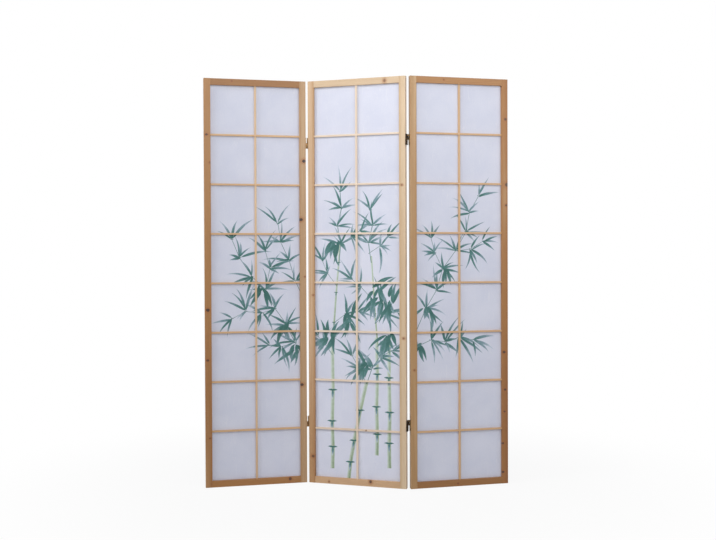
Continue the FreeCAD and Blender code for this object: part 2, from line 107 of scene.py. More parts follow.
# %% World and lamps
scene = bpy.context.scene
scene.view_settings.view_transform = "Standard"
WORLD_LIGHT = 0.26
SCREEN_TOP, SCREEN_MIDDLE = (0.6, 0, 1.7), (0, 0, 0.9)
LAMPS = {
    "far_key": ((-4.5, -2.1, 4.2), SCREEN_TOP, 2.4, 164),
    "brow_lamp": ((0, -1.6, 2.2), SCREEN_TOP, 1.5, 14),
    "fill_lamp": ((1.8, -1.8, 2.2), SCREEN_TOP, 2.2, 25),
    "back_lamp": ((0.8, 3.2, 2.4), SCREEN_MIDDLE, 2.0, 24),
}

world = bpy.data.worlds.new("studio_air")
scene.world = world
world.use_nodes = True
air = world.node_tree
air.nodes.clear()


def looks_at_backdrop(tree):
    """Answer 1 for a ray that should see the white backdrop: camera, mirror or glass."""
    path = tree.nodes.new("ShaderNodeLightPath")
    first = tree.nodes.new("ShaderNodeMath")
    both = tree.nodes.new("ShaderNodeMath")
    first.operation = both.operation = "MAXIMUM"
    tree.links.new(path.outputs["Is Camera Ray"], first.inputs[0])
    tree.links.new(path.outputs["Is Glossy Ray"], first.inputs[1])
    tree.links.new(first.outputs[0], both.inputs[0])
    tree.links.new(path.outputs["Is Transmission Ray"], both.inputs[1])
    return both.outputs[0]


seen = air.nodes.new("ShaderNodeBackground")
felt = air.nodes.new("ShaderNodeBackground")
seen.inputs["Color"].default_value = (1, 1, 1, 1)
seen.inputs["Strength"].default_value = 1.0
felt.inputs["Color"].default_value = (0.97, 0.98, 1, 1)
felt.inputs["Strength"].default_value = WORLD_LIGHT
either = air.nodes.new("ShaderNodeMixShader")
sky = air.nodes.new("ShaderNodeOutputWorld")
air.links.new(looks_at_backdrop(air), either.inputs["Fac"])
air.links.new(felt.outputs[0], either.inputs[1])
air.links.new(seen.outputs[0], either.inputs[2])
air.links.new(either.outputs[0], sky.inputs["Surface"])


def soft_lamp(name, place, aim, size, power):
    """Hang a square lamp and point it. Its size is in metres, its power in watts."""
    lamp = bpy.data.lights.new(name, "AREA")
    lamp.shape = "SQUARE"
    lamp.size = size
    lamp.energy = power
    held = bpy.data.objects.new(name, lamp)
    held.location = place
    held.rotation_euler = (Vector(aim) - Vector(place)).to_track_quat("-Z", "Y").to_euler()
    held.visible_camera = False
    scene.collection.objects.link(held)


for name, settings in LAMPS.items():
    soft_lamp(name, *settings)

# %% [markdown]
# ## The floor
# The floor is one wide plane. Its own paint takes the screen's soft shadow, and most of
# what the camera sees of it is the same white as the backdrop. That white share grows
# with the distance from the screen until it is all that is left, so no horizon shows.

# %% Floor
FLOOR_HALF = 9.0
FLOOR_GREY = (0.72, 0.72, 0.72, 1)
SHARE_NEAR, SHARE_FAR = 0.90, 1.0
NEAR_METRES, FAR_METRES = 0.5, 2.0

grid = bmesh.new()
bmesh.ops.create_grid(grid, x_segments=1, y_segments=1, size=FLOOR_HALF)
floor_mesh = bpy.data.meshes.new("studio_floor")
grid.to_mesh(floor_mesh)
grid.free()
floor = bpy.data.objects.new("studio_floor", floor_mesh)
scene.collection.objects.link(floor)

floor_paint = bpy.data.materials.new("studio_floor_paint")
floor_paint.use_nodes = True
tree = floor_paint.node_tree
tree.nodes.clear()
matt = tree.nodes.new("ShaderNodeBsdfDiffuse")
matt.inputs["Color"].default_value = FLOOR_GREY
glow = tree.nodes.new("ShaderNodeEmission")
glow.inputs["Strength"].default_value = 1.0
spot = tree.nodes.new("ShaderNodeTexCoord")
away = tree.nodes.new("ShaderNodeVectorMath")
away.operation = "LENGTH"
fade = tree.nodes.new("ShaderNodeMapRange")
fade.interpolation_type = "SMOOTHSTEP"
fade_range = (NEAR_METRES, FAR_METRES, SHARE_NEAR, SHARE_FAR)
for socket, value in zip(fade.inputs[1:5], fade_range):
    socket.default_value = value
tree.links.new(spot.outputs["Object"], away.inputs[0])
tree.links.new(away.outputs["Value"], fade.inputs["Value"])
share = tree.nodes.new("ShaderNodeMath")
share.operation = "MULTIPLY"
tree.links.new(fade.outputs[0], share.inputs[1])
paint = tree.nodes.new("ShaderNodeMixShader")
end = tree.nodes.new("ShaderNodeOutputMaterial")
tree.links.new(looks_at_backdrop(tree), share.inputs[0])
tree.links.new(share.outputs[0], paint.inputs["Fac"])
tree.links.new(matt.outputs[0], paint.inputs[1])
tree.links.new(glow.outputs[0], paint.inputs[2])
tree.links.new(paint.outputs[0], end.inputs["Surface"])
floor_mesh.materials.append(floor_paint)
print("floor metres:", 2 * FLOOR_HALF)

# %% [markdown]
# ## Small tools for materials
# A procedural material is a chain of little sums. These helpers add one node each and
# join it to what came before, so that a finish reads as a list of steps. Colours are
# written as on a paint card, 0 to 255, and turned into the linear values that the
# shader wants.

# %% Material helpers


def paint_card(red, green, blue):
    """Turn a screen colour, 0 to 255, into the shader's linear colour."""
    def linear(part):
        part /= 255
        return part / 12.92 if part <= 0.04045 else ((part + 0.055) / 1.055) ** 2.4
    return (linear(red), linear(green), linear(blue), 1.0)


def step(tree, kind, inputs, out=0, **options):
    """Add one node, set its options, set or join its inputs, and give one output."""
    made = tree.nodes.new("ShaderNode" + kind)
    for name, value in options.items():
        setattr(made, name, value)
    for key, value in inputs.items():
        if isinstance(value, bpy.types.NodeSocket):
            tree.links.new(value, made.inputs[key])
        else:
            made.inputs[key].default_value = value
    return made.outputs[out]


def sum_of(tree, operation, first, second=0.0, third=0.0):
    """One line of arithmetic."""
    return step(tree, "Math", {0: first, 1: second, 2: third}, operation=operation)


def between(tree, value, low, high, new_low=0.0, new_high=1.0):
    """Stretch a value from one range to another with soft ends."""
    return step(tree, "MapRange", {
        "Value": value, "From Min": low, "From Max": high,
        "To Min": new_low, "To Max": new_high}, interpolation_type="SMOOTHSTEP")


def blend_colours(tree, factor, first, second, way="MIX"):
    """Mix two colours. In a colour Mix node the sockets 0, 6 and 7 are the ones in use."""
    made = tree.nodes.new("ShaderNodeMix")
    made.data_type = "RGBA"
    made.blend_type = way
    for place, value in ((0, factor), (6, first), (7, second)):
        if isinstance(value, bpy.types.NodeSocket):
            tree.links.new(value, made.inputs[place])
        else:
            made.inputs[place].default_value = value
    return made.outputs[2]


def cloud(tree, vector, scale, detail=2.0, roughness=0.5, distortion=0.0):
    """Soft noise, about 0.5 in the middle."""
    return step(tree, "TexNoise", {
        "Vector": vector, "Scale": scale, "Detail": detail,
        "Roughness": roughness, "Distortion": distortion})


def bumped(tree, height, strength, distance):
    """Turn a height into a surface direction."""
    return step(tree, "Bump", {"Height": height, "Strength": strength, "Distance": distance})


def on_leaf(tree, leaf):
    """Give the point on the flat leaf that is being shaded: across, deep and up."""
    (x, y), yaw = LEAVES[leaf]
    place = step(tree, "TexCoord", {}, out="Object")
    flat = step(tree, "Mapping", {
        "Vector": place, "Location": (x, y, 0), "Rotation": (0, 0, math.radians(yaw))},
        vector_type="TEXTURE")
    split = tree.nodes.new("ShaderNodeSeparateXYZ")
    tree.links.new(flat, split.inputs[0])
    return split.outputs[0], split.outputs[1], split.outputs[2]


def new_finish(name):
    """Start a material and give it with its node tree and its shader."""
    finish = bpy.data.materials.new(name)
    finish.use_nodes = True
    return finish, finish.node_tree, finish.node_tree.nodes["Principled BSDF"]


def wear(piece, finish):
    """Put one finish on every slot of a piece."""
    if not piece.material_slots:
        piece.data.materials.append(finish)
    for held in piece.material_slots:
        held.material = finish


print("paint card test:", [round(v, 3) for v in paint_card(200, 160, 115)])

# %% [markdown]
# ## Pine
# A pine board is a slice of a trunk. Its lines are growth rings cut lengthwise: pale
# spring wood, then a narrow band of darker summer wood. So the grain is made as real
# rings round a far-off heart, measured across the board, and only their wobble runs
# along it. A knot is the root of a branch. The rings flow round it, a reddish halo
# surrounds it, and its middle is dark. Each board gets a heart of its own, a tint and
# its knots, because a frame is sawn from several boards. Some boards also get painted
# shade along one edge, mostly the inner edge beside the recessed paper, and some are
# darker towards the foot.

# %% Pine
RING_SPACING = 0.0031
GRAIN_STRETCH, FIBRE_STRETCH, KNOT_STRETCH = 0.05, 0.012, 0.85
FOOT_HEIGHT = 0.12
# A brown laid over a board for its painted edge shade and for its darker foot.
EDGE_SHADE_AND_FOOT_TINT = (0.76, 0.62, 0.45, 1)
PALE_STREAK = paint_card(246, 222, 184)
KNOT_HALO, KNOT_CORE = paint_card(158, 96, 48), paint_card(52, 28, 15)


def knotty(tree, board, over, along, knots):
    """Give how dark and how near a knot each point is. The core is dark, the halo wider."""
    spot = step(tree, "CombineXYZ", {
        0: over, 1: 0.0, 2: sum_of(tree, "DIVIDE", along, KNOT_STRETCH)})
    core, halo = 0.0, 0.0
    for place, side, radius, dark in knots:
        away = step(tree, "VectorMath", {0: spot, 1: (side, 0, place / KNOT_STRETCH)},
                    out="Value", operation="DISTANCE")
        rough = sum_of(tree, "SUBTRACT", cloud(tree, board, 260), 0.5)
        away = sum_of(tree, "ADD", away, sum_of(tree, "MULTIPLY", rough, radius * 0.9))
        dot = between(tree, away, radius * 1.1, radius * 0.75, 0, dark)
        core = sum_of(tree, "MAXIMUM", core, dot)
        halo = sum_of(tree, "MAXIMUM", halo, between(tree, away, radius * 2.8, radius * 0.8))
    return core, halo


def growth_rings(tree, drawn, over, deep, heart, halo):
    """Give the bands of summer wood round a heart. They flow round the knots."""
    wobble = sum_of(tree, "MULTIPLY_ADD", cloud(tree, drawn, 34, 3.0), 0.012,
                    sum_of(tree, "MULTIPLY", halo, 0.0045))
    from_heart = step(tree, "CombineXYZ", {
        0: sum_of(tree, "SUBTRACT", over, heart[0]),
        1: sum_of(tree, "SUBTRACT", deep, heart[1]), 2: 0.0})
    radius = step(tree, "VectorMath", {0: from_heart}, out="Value", operation="LENGTH")
    ring = sum_of(tree, "ADD", radius, wobble)
    turn = sum_of(tree, "FRACT", sum_of(tree, "DIVIDE", ring, RING_SPACING))
    return sum_of(tree, "MULTIPLY", between(tree, turn, 0.25, 0.82),
                  between(tree, turn, 1.0, 0.86))


def pine(name, leaf, along_up, early, late, heart, seed, knots=(), edge_shade=None, foot=None):
    """Make one board's finish.

    A knot is (along, across, radius, darkness) in metres. An edge shade is painted shade
    across the board from one line to another, and a foot darkens it downwards from a height.
    """
    finish, tree, shader = new_finish(name)
    across, deep, up = on_leaf(tree, leaf)
    along, over = (up, across) if along_up else (across, up)
    board = step(tree, "CombineXYZ", {0: over, 1: deep, 2: along})
    shift = (seed * 0.73, seed * 0.31, seed * 1.9)
    drawn = step(tree, "Mapping", {
        "Vector": board, "Location": shift, "Scale": (1, 1, GRAIN_STRETCH)})
    strands = step(tree, "Mapping", {"Vector": board, "Scale": (1, 1, FIBRE_STRETCH)})
    core, halo = knotty(tree, board, over, along, knots)
    summer = growth_rings(tree, drawn, over, deep, heart, halo)

    def tint(factor, colour, way="MIX"):
        """Lay one more colour over the board."""
        return blend_colours(tree, factor, wood, colour, way)

    tone = cloud(tree, drawn, 13, 3.0, 0.6)
    fibre = cloud(tree, strands, 900, 3.0, 0.65)
    wood = blend_colours(tree, sum_of(tree, "MULTIPLY", summer, 0.62), early, late)
    wood = tint(between(tree, tone, 0.52, 0.78, 0, 0.55), late)
    wood = tint(between(tree, tone, 0.46, 0.22, 0, 0.35), PALE_STREAK)
    grit = step(tree, "ValToRGB", {0: fibre})
    ramp = grit.node.color_ramp
    ramp.elements[0].position, ramp.elements[0].color = 0.30, (0.80, 0.76, 0.70, 1)
    ramp.elements[1].position, ramp.elements[1].color = 0.66, (1, 1, 1, 1)
    wood = blend_colours(tree, 0.75, wood, grit, "MULTIPLY")
    # Painted shade along one edge of the board, strongest at the second line: the inner edge
    # beside the recessed paper, and on the right leaf's right stile its outer edge.
    if edge_shade:
        start, end, most = edge_shade
        wood = tint(between(tree, over, start, end, 0, most), EDGE_SHADE_AND_FOOT_TINT, "MULTIPLY")
    # The foot: the board is darker towards the floor, from the given height down.
    if foot:
        height, most = foot
        wood = tint(between(tree, up, height, FOOT_HEIGHT, 0, most), EDGE_SHADE_AND_FOOT_TINT, "MULTIPLY")
    if knots:
        wood = tint(sum_of(tree, "MULTIPLY", halo, 0.62), KNOT_HALO)
        wood = tint(core, KNOT_CORE)
    tree.links.new(wood, shader.inputs["Base Color"])

    tree.links.new(between(tree, fibre, 0.3, 0.7, 0.52, 0.38), shader.inputs["Roughness"])
    relief = sum_of(tree, "MULTIPLY_ADD", summer, 0.5, fibre)
    tree.links.new(bumped(tree, relief, 0.35, 0.00025), shader.inputs["Normal"])
    shader.inputs["Coat Weight"].default_value = 0.12
    shader.inputs["Coat Roughness"].default_value = 0.32
    return finish


HONEY = paint_card(178, 132, 81), paint_card(150, 96, 48)
SYRUP = paint_card(177, 130, 78), paint_card(150, 96, 50)
WHEAT = paint_card(195, 162, 125), paint_card(162, 118, 78)
CREAM = paint_card(222, 200, 170), paint_card(196, 162, 124)
TAN = paint_card(213, 182, 149), paint_card(180, 140, 101)
SAND = paint_card(212, 178, 141), paint_card(182, 134, 91)
DRIFT = paint_card(184, 146, 101), paint_card(154, 111, 66)
AMBER = paint_card(174, 124, 69), paint_card(143, 88, 40)
RUST = paint_card(160, 113, 61), paint_card(135, 83, 38)
print("growth rings a stile:", round(STILE / RING_SPACING))

# %% [markdown]
# ### Which board is which
# The frame boards differ, as they do in the picture: the left leaf is honey coloured,
# the middle one paler, and the right leaf has one greyish and one amber stile. Each row
# gives a board's tint, the place of its heart across and deep in metres, its knots as
# millimetres along, millimetres across, radius and darkness, and then the painted edge
# shade and the foot, where it has them. On a stile a knot's first number is its height,
# on a rail its distance from the leaf's left edge.

# %% Boards of the frame
KNOT_SIZE = 2.4
FRAME_BOARDS = {
    "left_panel_left_stile": (HONEY, (-0.060, 0.050), [
        (1510, 11, 2.6, 0.9), (1391, 25, 2.0, 0.5), (761, 12, 3.6, 0.95),
        (546, 11, 2.6, 0.8), (212, 19, 1.8, 0.6)], None, (1.10, 0.74)),
    "left_panel_right_stile": (WHEAT, (0.480, 0.060), [
        (1404, 431, 3.6, 1.0), (1149, 417, 3.4, 1.0), (429, 418, 3.2, 0.95),
        (900, 434, 1.5, 0.5)], (0.424, 0.413, 0.45), None),
    "left_panel_bottom_rail": (AMBER, (-0.050, 0.040), [
        (365, 20, 3.2, 0.8)], None, None),
    "left_panel_top_rail": (RUST, (1.690, 0.050), [
        (120, 1741, 1.6, 0.5)], None, None),
    "centre_panel_left_stile": (TAN, (-0.040, 0.070), [
        (116, 19, 3.0, 0.7), (820, 22, 1.6, 0.5)], (0.015, 0.027, 0.72), (0.75, 1.0)),
    "centre_panel_right_stile": (CREAM, (0.470, 0.050), [
        (1290, 424, 1.8, 0.45), (640, 430, 2.0, 0.5)], (0.428, 0.413, 0.50), None),
    "centre_panel_bottom_rail": (SAND, (-0.070, 0.050), [
        (281, 21, 3.0, 0.85), (92, 9, 1.6, 0.5)], None, None),
    "centre_panel_top_rail": (CREAM, (1.820, 0.060), [
        (349, 1734, 2.8, 0.55)], None, None),
    "right_panel_left_stile": (DRIFT, (-0.050, 0.060), [
        (505, 16, 1.8, 0.45)], (0.018, 0.027, 0.30), None),
    "right_panel_right_stile": (AMBER, (0.500, 0.050), [
        (1578, 430, 2.8, 0.8), (1296, 438, 4.6, 0.85), (1207, 433, 2.4, 0.8),
        (571, 422, 3.0, 0.9), (408, 427, 2.6, 0.85), (313, 424, 2.2, 0.8),
        (175, 416, 2.4, 0.85), (50, 417, 2.6, 0.9)], (0.420, 0.438, 0.50), (0.70, 0.42)),
    "right_panel_bottom_rail": (RUST, (-0.060, 0.060), [
        (210, 12, 1.8, 0.6)], None, None),
    "right_panel_top_rail": (SYRUP, (1.700, 0.050), [
        (150, 1738, 1.5, 0.5)], None, None),
}

for number, (board, row) in enumerate(FRAME_BOARDS.items(), start=1):
    (early, late), heart, knots, edge_shade, foot = row
    metres = [(a / 1000, b / 1000, KNOT_SIZE * r / 1000, dark) for a, b, r, dark in knots]
    leaf, upright = board.split("_")[0], board.endswith("stile")
    wear(nodes[board], pine(
        "pine_" + board, leaf, upright, early, late, heart, number, metres, edge_shade, foot))
print("frame boards:", len(FRAME_BOARDS))

# %% [markdown]
# ### The lattice and the beads
# The bars are ripped from clear wood, almost without knots, and are a little pinker and
# lighter than the frame. The left leaf's upright bar is paler than its cross bars. The
# beads at the back take frame tints: the left leaf's the honey of its left stile, the
# middle and right leaves' the tan of the middle leaf's left stile.

# %% Lattice bars and beads
BAR_WOOD = {
    "left": (paint_card(221, 184, 143), paint_card(184, 140, 98)),
    "centre": (paint_card(239, 223, 205), paint_card(212, 184, 158)),
    "right": (paint_card(218, 182, 142), paint_card(180, 136, 96)),
}
UPRIGHT_WOOD = dict(BAR_WOOD, left=(paint_card(228, 198, 164), paint_card(194, 154, 116)))
BEAD_WOOD = {"left": HONEY, "centre": TAN, "right": TAN}
BAR_KNOTS = {"left": [], "centre": [(0.261, 0.2398, 0.0026, 0.9)], "right": []}
UPRIGHT_HEART, CROSS_HEART, BEAD_HEART = (0.170, 0.040), (-0.300, 0.050), (0.160, 0.090)

for number, leaf in enumerate(LEAVES, start=21):
    wear(nodes[f"{leaf}_panel_centre_bar"], pine(
        f"pine_{leaf}_upright_bar", leaf, True, *UPRIGHT_WOOD[leaf], UPRIGHT_HEART, number))
    cross_wood = pine(f"pine_{leaf}_cross_bars", leaf, False, *BAR_WOOD[leaf], CROSS_HEART,
                      number + 10, BAR_KNOTS[leaf])
    for row in range(1, 8):
        wear(nodes[f"{leaf}_panel_cross_bar_{row}"], cross_wood)
    wear(nodes[f"{leaf}_panel_beads"], pine(
        f"pine_{leaf}_beads", leaf, True, *BEAD_WOOD[leaf], BEAD_HEART, number + 20))
print("pine finishes:", len([m for m in bpy.data.materials if m.name.startswith("pine_")]))

# %% [markdown]
# ## Paper
# Shoji paper is long plant fibre, felted and a little cloudy, and here it has a cool
# bluish white. Light that falls on one side glows through to the other. So the sheet is
# a matt surface mixed with a translucent one, with clouds, faint laid lines and single
# long fibres, and just enough relief to catch light from the side.

# %% Paper
PAPER_GLOW = 0.22
PAPER_SHADE, PAPER_LIGHT = paint_card(226, 229, 241), paint_card(233, 235, 245)
PULP, LONG_FIBRE = paint_card(219, 221, 236), paint_card(247, 247, 250)
LAID_LINE = paint_card(214, 216, 232)
FIBRE_LAYS = ((0.5, 34), (1.9, 41), (2.7, 29))


def rice_paper(leaf, number):
    """Make the finish of one leaf's sheet."""
    finish, tree, shader = new_finish(f"rice_paper_{leaf}")
    across, deep, up = on_leaf(tree, leaf)
    sheet = step(tree, "CombineXYZ", {0: across, 1: number * 0.7, 2: up})
    mist = cloud(tree, sheet, 9, 4.0, 0.6)
    pulp = cloud(tree, sheet, 260, 4.0, 0.7)
    hairs = 0.0
    for turn, size in FIBRE_LAYS:
        lay = step(tree, "Mapping", {
            "Vector": sheet, "Rotation": (0, turn, 0), "Scale": (1, 1, 0.11)})
        veins = cloud(tree, lay, size, 1.0, 0.4, 1.6)
        line = sum_of(tree, "ABSOLUTE", sum_of(tree, "SUBTRACT", veins, 0.5))
        hairs = sum_of(tree, "MAXIMUM", hairs, between(tree, line, 0.0045, 0.001))
    laid = step(tree, "TexWave", {
        "Vector": sheet, "Scale": 95.0, "Distortion": 0.8, "Detail": 1.0, "Detail Scale": 0.4},
        out="Fac", wave_type="BANDS", bands_direction="X")
    colour = blend_colours(tree, between(tree, mist, 0.3, 0.7), PAPER_SHADE, PAPER_LIGHT)
    colour = blend_colours(tree, between(tree, pulp, 0.35, 0.7, 0, 0.4), colour, PULP)
    colour = blend_colours(tree, sum_of(tree, "MULTIPLY", hairs, 0.35), colour, LONG_FIBRE)
    colour = blend_colours(tree, sum_of(tree, "MULTIPLY", laid, 0.12), colour, LAID_LINE)
    tree.links.new(colour, shader.inputs["Base Color"])
    shader.inputs["Roughness"].default_value = 0.82
    shader.inputs["Specular IOR Level"].default_value = 0.25
    relief = sum_of(tree, "ADD", sum_of(tree, "MULTIPLY", pulp, 0.6), sum_of(
        tree, "MULTIPLY_ADD", hairs, 0.7, sum_of(tree, "MULTIPLY", laid, 0.12)))
    normal = bumped(tree, relief, 0.4, 0.0002)
    tree.links.new(normal, shader.inputs["Normal"])
    through = step(tree, "BsdfTranslucent", {"Color": colour, "Normal": normal})
    both = step(tree, "MixShader", {0: PAPER_GLOW, 1: shader.outputs[0], 2: through})
    tree.links.new(both, tree.nodes["Material Output"].inputs["Surface"])
    return finish


for number, leaf in enumerate(LEAVES, start=1):
    wear(nodes[f"{leaf}_panel_paper"], rice_paper(leaf, number))
print("paper sheets:", len(LEAVES))

# %% [markdown]
# ## Hinges, pins and screws
# The hinges are pressed from brass and browned. The brown lies unevenly: where fingers
# and the knuckles rub, the metal is bare and warm, elsewhere it is almost black. A
# blotchy noise picks between the two, and also makes the bare places smoother. The left
# seam's hinges and the right leaf's plates are worn light, and the rest of the right
# seam's hinges are nearly black.

# %% Aged metal
SOOT = paint_card(30, 22, 16)


def browned(name, bare, brown, share, rough):
    """Make an aged metal. The share is how much of the brown has been rubbed away."""
    finish, tree, shader = new_finish(name)
    place = step(tree, "TexCoord", {}, out="Object")
    blotch = cloud(tree, place, 95, 5.0, 0.65, 0.4)
    speck = cloud(tree, place, 900, 2.0, 0.6)
    rubbed = between(tree, blotch, 0.62 - share * 0.3, 0.80 - share * 0.3)
    colour = blend_colours(tree, rubbed, brown, bare)
    colour = blend_colours(tree, between(tree, speck, 0.55, 0.75, 0, 0.35), colour, SOOT)
    tree.links.new(colour, shader.inputs["Base Color"])
    tree.links.new(between(tree, rubbed, 0, 1, rough, rough - 0.18), shader.inputs["Roughness"])
    shader.inputs["Metallic"].default_value = 0.85
    scratches = step(tree, "Mapping", {"Vector": place, "Scale": (1, 1, 0.08)})
    relief = sum_of(tree, "ADD", cloud(tree, scratches, 1600, 2.0),
                    sum_of(tree, "MULTIPLY", speck, 0.6))
    tree.links.new(bumped(tree, relief, 0.25, 0.0001), shader.inputs["Normal"])
    return finish


METALS = {
    "brass_left": ((176, 138, 92), (116, 90, 62), 0.62, 0.52),
    "brass_right": ((134, 104, 64), (52, 40, 30), 0.25, 0.50),
    "pin": ((120, 104, 84), (58, 46, 38), 0.45, 0.42),
    "brass_worn": ((186, 156, 112), (134, 108, 74), 0.66, 0.52),
    "screw": ((182, 150, 100), (104, 80, 54), 0.60, 0.40),
}
metals = {
    name: browned(f"browned_{name}", paint_card(*bare), paint_card(*brown), share, rough)
    for name, (bare, brown, share, rough) in METALS.items()}


def metal_for(name):
    """Say which metal a node of the hinges is made of."""
    if name.endswith("_pins"):
        return "pin"
    if name.endswith("_screws"):
        return "screw"
    if name.startswith("left_seam"):
        return "brass_left"
    return "brass_worn" if name.endswith("right_plate") else "brass_right"


for name, piece in nodes.items():
    if name.endswith(("_plate", "_link", "_pins", "_screws")):
        wear(piece, metals[metal_for(name)])
print("metal finishes:", len(metals))

# %% [markdown]
# ## The printed bamboo
# The print is bamboo as ink painters have always drawn it: stalks as single pulls of a
# wide brush, a dark ring at every joint, and leaves as quick strokes that swell and end
# in a point. It could be a picture wrapped on the paper, but strokes made as thin
# shapes stay sharp at any distance. Each stroke starts as a strip of a grid. Its
# outline, bend and place are given by a few numbers, and a seeded random choice varies
# them, so the same grove grows at every run. Two strokes at one depth would flicker
# where they cross, so each one lies a hair above the strokes that it may touch.

# %% Brush strokes
INK_STEP = 0.000004
RIM_FADE = 0.16
SWELL, TAPER, FULLEST = 0.6, 1.15, 0.318
strokes = random.Random(41)


def layer_over(laid, line, width, base):
    """Give the lowest layer above every stroke that this one may touch, and note it."""
    low = [min(place[axis] for place, _ in line) - width / 2 for axis in (0, 1)]
    high = [max(place[axis] for place, _ in line) + width / 2 for axis in (0, 1)]
    below = [layer for other_low, other_high, layer in laid if all(
        other_low[axis] < high[axis] and low[axis] < other_high[axis] for axis in (0, 1))]
    laid.append((low, high, max(below, default=base) + 1))
    return laid[-1][2]


def walk(start, heading, length, curl, pieces):
    """Go along a line that curls more and more, and give its points and headings."""
    place, steps = Vector(start), []
    for number in range(pieces + 1):
        turn = heading + curl * (number / pieces) ** 1.6
        steps.append((place.copy(), turn))
        place += Vector((math.cos(turn), math.sin(turn))) * length / pieces
    return steps


def stroke(ink, start, heading, length, width, curl=0.0, tone=(0.9, 0.3), blunt=False,
           pieces=8):
    """Brush one stroke on the flat leaf, swelling to a point, or blunt like a stalk."""
    mesh, tone_layer, laid, base = ink
    made = bmesh.ops.create_grid(mesh, x_segments=pieces, y_segments=2, size=0.5)["verts"]
    line = walk(start, heading, length, curl, pieces)
    lift = PAPER_FRONT - INK_STEP * layer_over(laid, line, width, base)
    for vert in made:
        go = vert.co.x + 0.5
        place, turn = line[round(go * pieces)]
        if blunt:
            thick = 1.0 - 0.14 * math.sin(math.pi * go)
        else:
            thick = max(go, 0) ** SWELL * max(1 - go, 0) ** TAPER / FULLEST
        offset = vert.co.y * thick * width
        rim = RIM_FADE if abs(vert.co.y) > 0.25 and not blunt else 0
        vert[tone_layer] = tone[0] + (tone[1] - tone[0]) * go - rim
        vert.co = (place.x - offset * math.sin(turn), lift, place.y + offset * math.cos(turn))
    bmesh.ops.remove_doubles(mesh, verts=made, dist=1e-6)


def open_ink(base=0):
    """Start an empty mesh that holds the ink's strength, and the list of its strokes."""
    mesh = bmesh.new()
    return mesh, mesh.verts.layers.float.new("ink"), [], base


def trimmed(mesh, low, high):
    """Cut the strokes off where the paper goes behind the frame."""
    edges = ((0, low[0], -1), (0, high[0], 1), (2, low[1], -1), (2, high[1], 1))
    for axis, place, sign in edges:
        point, normal = Vector((0, 0, 0)), Vector((0, 0, 0))
        point[axis], normal[axis] = place, sign
        bmesh.ops.bisect_plane(
            mesh, geom=mesh.verts[:] + mesh.edges[:] + mesh.faces[:], dist=1e-7,
            plane_co=point, plane_no=normal, clear_outer=True)


def close_ink(name, leaf, ink, finish):
    """Give the strokes the thickness of inked paper, and put them on their leaf."""
    mesh = ink[0]
    trimmed(mesh, (STILE, RAIL), (LEAF_WIDTH - STILE, LEAF_HEIGHT - RAIL))
    raised = bmesh.ops.extrude_face_region(mesh, geom=mesh.faces[:])["geom"]
    for vert in (item for item in raised if isinstance(item, bmesh.types.BMVert)):
        vert.co.y = PAPER_BACK + PAPER_FRONT - vert.co.y
    bmesh.ops.recalc_face_normals(mesh, faces=mesh.faces[:])
    mesh.transform(stand(leaf))
    data = bpy.data.meshes.new(name)
    mesh.to_mesh(data)
    mesh.free()
    piece = bpy.data.objects.new(name, data)
    scene.collection.objects.link(piece)
    data.materials.append(finish)
    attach(piece, f"{leaf}_panel")
    top = max(layer for _, _, layer in ink[2])
    print(name, "strokes:", len(ink[2]), "top layer:", top, "faces:", len(data.polygons))


print("ink step in micrometres:", round(INK_STEP * 1e6, 1))


# %% [markdown]
# ### Ink
# Water colour on rice paper is never even. The stroke is strongest where the brush
# lands and paler where it leaves, and the paper's grain breaks it up. The strength
# travels with the mesh as an attribute called ink, so the material only has to read it
# and add the grain. Seen from behind, the same stroke shows through much paler.

# %% Ink finishes
DRY_BRUSH, SHOWN_THROUGH = paint_card(220, 226, 238), paint_card(226, 228, 240)
LEAF_STOPS = ((0, paint_card(204, 214, 228)), (0.38, paint_card(136, 160, 172)),
              (0.68, paint_card(89, 132, 131)), (1, paint_card(66, 110, 105)))
STALK_STOPS = ((0, paint_card(216, 224, 226)), (0.35, paint_card(194, 208, 194)),
               (0.75, paint_card(164, 182, 156)), (1, paint_card(134, 156, 128)))
FADED_BEHIND = 0.72


def water_ink(name, leaf, stops):
    """Make an ink whose colour runs through its stops with the strength of the stroke."""
    finish, tree, shader = new_finish(name)
    across, deep, up = on_leaf(tree, leaf)
    sheet = step(tree, "CombineXYZ", {0: across, 1: 0.0, 2: up})
    strength = step(tree, "Attribute", {}, out="Fac", attribute_name="ink")
    pool = cloud(tree, sheet, 60, 3.0, 0.6)
    grain = cloud(tree, sheet, 420, 3.0, 0.7)
    strength = sum_of(tree, "ADD", strength, sum_of(
        tree, "MULTIPLY", sum_of(tree, "SUBTRACT", pool, 0.5), 0.7))
    colour = step(tree, "ValToRGB", {0: strength})
    ramp = colour.node.color_ramp
    ramp.elements[0].color, ramp.elements[1].color = stops[0][1], stops[-1][1]
    for place, shade in stops[1:-1]:
        ramp.elements.new(place).color = shade
    colour = blend_colours(tree, between(tree, grain, 0.55, 0.75, 0, 0.22), colour, DRY_BRUSH)
    back = between(tree, deep, PAPER_FRONT, PAPER_BACK, 0, FADED_BEHIND)
    colour = blend_colours(tree, back, colour, SHOWN_THROUGH)
    tree.links.new(colour, shader.inputs["Base Color"])
    shader.inputs["Roughness"].default_value = 0.78
    shader.inputs["Specular IOR Level"].default_value = 0.25
    tree.links.new(bumped(tree, grain, 0.3, 0.0001), shader.inputs["Normal"])
    return finish


leaf_ink = {leaf: water_ink(f"leaf_ink_{leaf}", leaf, LEAF_STOPS) for leaf in LEAVES}
stalk_ink = water_ink("stalk_ink", "centre", STALK_STOPS)
print("inks:", sorted(m.name for m in bpy.data.materials if "ink" in m.name))

# %% [markdown]
# ### How a spray grows
# Bamboo carries its leaves in fans. From one joint four leaves open like the fingers of
# a hand, and some of them are cut short. A twig is a thin stroke with a small tick at
# its joint. The functions below work in millimetres on the flat leaf, across from its
# left edge and up from the floor, and in degrees turned from pointing right.

